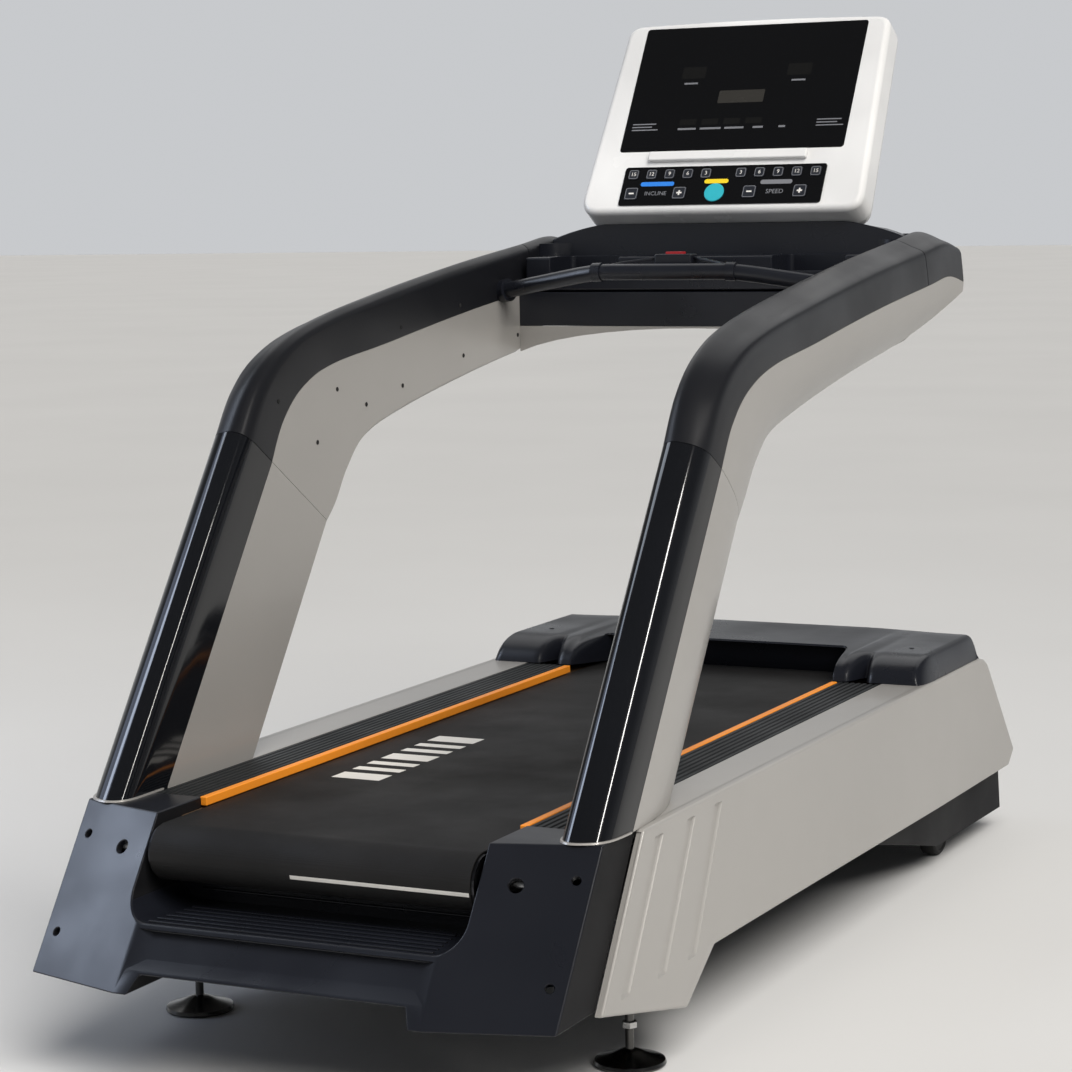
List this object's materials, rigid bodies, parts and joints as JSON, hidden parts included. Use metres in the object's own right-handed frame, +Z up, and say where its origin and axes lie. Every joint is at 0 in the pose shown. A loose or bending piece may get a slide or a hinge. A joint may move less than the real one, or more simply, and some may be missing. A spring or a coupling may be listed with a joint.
{
  "type": "treadmill",
  "caption": "Commercial running treadmill with a low rear step, cushioned deck, motorised incline, sweeping handrails and a tilted console.",
  "frame": {"origin": "floor level, under the middle of the machine", "axes": "+Z up, +Y from the rear step towards the motor end, +X to the right of a person facing the console"},
  "size_m": [0.95, 2.288, 1.7125],
  "materials": {
    "frame_steel": "satin black powder coat",
    "deck": "phenolic faced board",
    "belt": "woven textured running surface",
    "rubber": "matte",
    "roller_steel": "turned",
    "zinc": "bright zinc",
    "foot_metal": "plated",
    "tread": "ribbed",
    "accent": "satin",
    "black_plastic": "satin moulded",
    "gloss_black": "high gloss",
    "silver": "satin metallic paint over moulded plastic",
    "white_plastic": "semi-gloss",
    "screen": "gloss",
    "red_plastic": "satin",
    "key": "soft touch",
    "start_key": "soft touch"
  },
  "bodies": {
    "root": {"main_frame": "frame_steel", "upright_frame": "frame_steel", "drive_motor": "frame_steel", "motor_controller": "black_plastic", "deck_board": "deck", "running_belt": "belt", "drive_belt": "rubber", "rear_roller_axle": "zinc", "front_roller_axle": "zinc", "tread_left": "tread", "tread_right": "tread", "accent_strip_left": "accent", "accent_strip_right": "accent", "rear_cover": "black_plastic", "motor_hood": "black_plastic", "lower_pan": "black_plastic", "bridge_cover": "black_plastic", "bridge_lip": "silver", "handlebar": "black_plastic", "handrail_grip_left": "black_plastic", "handrail_grip_right": "black_plastic", "handrail_shell_left": "silver", "handrail_shell_right": "silver", "upright_nose_left": "gloss_black", "upright_nose_right": "gloss_black", "upright_shell_left": "silver", "upright_shell_right": "silver", "side_panel_left": "silver", "side_panel_right": "silver", "console_front": "white_plastic", "console_back": "white_plastic", "console_screen": "screen", "keypad_panel": "screen"},
    "front_roller": {"front_roller": "roller_steel", "front_roller_pulley": "roller_steel"},
    "rear_roller": {"rear_roller": "roller_steel"},
    "motor_pulley": {"motor_pulley": "roller_steel"},
    "incline_arm": {"incline_arm": "frame_steel"},
    "incline_motor": {"incline_motor": "frame_steel"},
    "incline_screw": {"incline_screw": "zinc"},
    "front_wheel_left": {"front_wheel_left": "rubber"},
    "front_wheel_right": {"front_wheel_right": "rubber"},
    "foot_left": {"foot_left": "foot_metal"},
    "foot_right": {"foot_right": "foot_metal"},
    "safety_key": {"safety_key": "red_plastic"},
    "start_key": {"start_key": "start_key"},
    "incline_preset_key_1": {"incline_preset_key_1": "key"},
    "incline_preset_key_2": {"incline_preset_key_2": "key"},
    "incline_preset_key_3": {"incline_preset_key_3": "key"},
    "incline_preset_key_4": {"incline_preset_key_4": "key"},
    "incline_preset_key_5": {"incline_preset_key_5": "key"},
    "speed_preset_key_1": {"speed_preset_key_1": "key"},
    "speed_preset_key_2": {"speed_preset_key_2": "key"},
    "speed_preset_key_3": {"speed_preset_key_3": "key"},
    "speed_preset_key_4": {"speed_preset_key_4": "key"},
    "speed_preset_key_5": {"speed_preset_key_5": "key"},
    "incline_down_key": {"incline_down_key": "key"},
    "incline_up_key": {"incline_up_key": "key"},
    "speed_down_key": {"speed_down_key": "key"},
    "speed_up_key": {"speed_up_key": "key"}
  },
  "joints": [
    {"name": "front_roller_spin", "type": "hinge", "parent": "root", "child": "front_roller", "pos_m": [0, 0.836, 0.3426], "axis": [1, 0, 0], "continuous": true},
    {"name": "rear_roller_spin", "type": "hinge", "parent": "root", "child": "rear_roller", "pos_m": [0, -0.964, 0.3426], "axis": [1, 0, 0], "continuous": true},
    {"name": "motor_spin", "type": "hinge", "parent": "root", "child": "motor_pulley", "pos_m": [0, 0.971, 0.235], "axis": [1, 0, 0], "continuous": true},
    {"name": "incline_swing", "type": "hinge", "parent": "root", "child": "incline_arm", "pos_m": [0, 0.576, 0.15], "axis": [-1, 0, 0], "range_deg": [0, 40]},
    {"name": "incline_motor_tilt", "type": "hinge", "parent": "root", "child": "incline_motor", "pos_m": [0, 0.681, 0.25], "axis": [-1, 0, 0], "range_deg": [0, 24]},
    {"name": "incline_screw_slide", "type": "slide", "parent": "incline_motor", "child": "incline_screw", "axis": [0, 0.3442, -0.9389], "range_m": [0, 0.083]},
    {"name": "front_wheel_left_spin", "type": "hinge", "parent": "incline_arm", "child": "front_wheel_left", "pos_m": [-0.392, 0.836, 0.05], "axis": [1, 0, 0], "continuous": true},
    {"name": "front_wheel_right_spin", "type": "hinge", "parent": "incline_arm", "child": "front_wheel_right", "pos_m": [0.392, 0.836, 0.05], "axis": [1, 0, 0], "continuous": true},
    {"name": "foot_left_screw", "type": "slide", "parent": "root", "child": "foot_left", "axis": [0, 0, -1], "range_m": [0, 0.02]},
    {"name": "foot_right_screw", "type": "slide", "parent": "root", "child": "foot_right", "axis": [0, 0, -1], "range_m": [0, 0.02]},
    {"name": "safety_key_pull", "type": "slide", "parent": "root", "child": "safety_key", "axis": [0, 0, 1], "range_m": [0, 0.04]},
    {"name": "start_key_press", "type": "slide", "parent": "root", "child": "start_key", "axis": [0, 0.8526, -0.5225], "range_m": [0, 0.0015], "stiffness_N_per_m": 1200},
    {"name": "incline_preset_key_1_press", "type": "slide", "parent": "root", "child": "incline_preset_key_1", "axis": [0, 0.8526, -0.5225], "range_m": [0, 0.0015], "stiffness_N_per_m": 1200},
    {"name": "incline_preset_key_2_press", "type": "slide", "parent": "root", "child": "incline_preset_key_2", "axis": [0, 0.8526, -0.5225], "range_m": [0, 0.0015], "stiffness_N_per_m": 1200},
    {"name": "incline_preset_key_3_press", "type": "slide", "parent": "root", "child": "incline_preset_key_3", "axis": [0, 0.8526, -0.5225], "range_m": [0, 0.0015], "stiffness_N_per_m": 1200},
    {"name": "incline_preset_key_4_press", "type": "slide", "parent": "root", "child": "incline_preset_key_4", "axis": [0, 0.8526, -0.5225], "range_m": [0, 0.0015], "stiffness_N_per_m": 1200},
    {"name": "incline_preset_key_5_press", "type": "slide", "parent": "root", "child": "incline_preset_key_5", "axis": [0, 0.8526, -0.5225], "range_m": [0, 0.0015], "stiffness_N_per_m": 1200},
    {"name": "speed_preset_key_1_press", "type": "slide", "parent": "root", "child": "speed_preset_key_1", "axis": [0, 0.8526, -0.5225], "range_m": [0, 0.0015], "stiffness_N_per_m": 1200},
    {"name": "speed_preset_key_2_press", "type": "slide", "parent": "root", "child": "speed_preset_key_2", "axis": [0, 0.8526, -0.5225], "range_m": [0, 0.0015], "stiffness_N_per_m": 1200},
    {"name": "speed_preset_key_3_press", "type": "slide", "parent": "root", "child": "speed_preset_key_3", "axis": [0, 0.8526, -0.5225], "range_m": [0, 0.0015], "stiffness_N_per_m": 1200},
    {"name": "speed_preset_key_4_press", "type": "slide", "parent": "root", "child": "speed_preset_key_4", "axis": [0, 0.8526, -0.5225], "range_m": [0, 0.0015], "stiffness_N_per_m": 1200},
    {"name": "speed_preset_key_5_press", "type": "slide", "parent": "root", "child": "speed_preset_key_5", "axis": [0, 0.8526, -0.5225], "range_m": [0, 0.0015], "stiffness_N_per_m": 1200},
    {"name": "incline_down_key_press", "type": "slide", "parent": "root", "child": "incline_down_key", "axis": [0, 0.8526, -0.5225], "range_m": [0, 0.0015], "stiffness_N_per_m": 1200},
    {"name": "incline_up_key_press", "type": "slide", "parent": "root", "child": "incline_up_key", "axis": [0, 0.8526, -0.5225], "range_m": [0, 0.0015], "stiffness_N_per_m": 1200},
    {"name": "speed_down_key_press", "type": "slide", "parent": "root", "child": "speed_down_key", "axis": [0, 0.8526, -0.5225], "range_m": [0, 0.0015], "stiffness_N_per_m": 1200},
    {"name": "speed_up_key_press", "type": "slide", "parent": "root", "child": "speed_up_key", "axis": [0, 0.8526, -0.5225], "range_m": [0, 0.0015], "stiffness_N_per_m": 1200}
  ],
  "couplings": [
    {"joint": "rear_roller_spin", "follows": "front_roller_spin", "ratio": 1},
    {"joint": "motor_spin", "follows": "front_roller_spin", "ratio": 1.9643},
    {"joint": "incline_motor_tilt", "follows": "incline_swing", "ratio": 0.59},
    {"joint": "incline_screw_slide", "follows": "incline_swing", "m_per_rad": 0.117}
  ]
}
